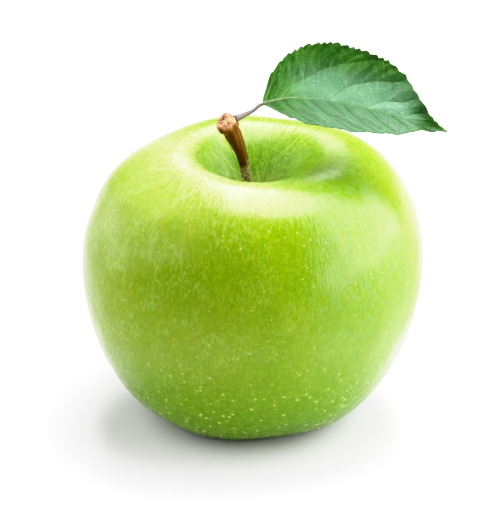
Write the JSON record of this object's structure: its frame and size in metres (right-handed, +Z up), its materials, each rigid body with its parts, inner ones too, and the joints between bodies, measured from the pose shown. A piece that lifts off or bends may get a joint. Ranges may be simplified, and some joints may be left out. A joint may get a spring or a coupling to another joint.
{
  "type": "apple",
  "caption": "Whole fresh green apple resting on its base, with a woody stem in the cavity, a serrated leaf and a dried calyx underneath.",
  "frame": {"origin": "on the surface the apple rests on, under the middle of its box", "axes": "+Z up along the fruit's core, +X towards the leaf's tip, -Y towards the side the stem leans to"},
  "size_m": [0.0842, 0.0798, 0.0878],
  "materials": {
    "skin": "waxy gloss, green with pale lenticels",
    "bark": "rough bark, paler at the foot and on the broken end",
    "leaf": "soft sheen, netted with pale veins",
    "calyx": "dry, matt and hairy"
  },
  "bodies": {
    "root": {"fruit": "skin", "stem": "bark", "leaf": "leaf", "sepal_1": "calyx", "sepal_2": "calyx", "sepal_3": "calyx", "sepal_4": "calyx", "sepal_5": "calyx", "stamen_tuft": "calyx"}
  },
  "joints": []
}
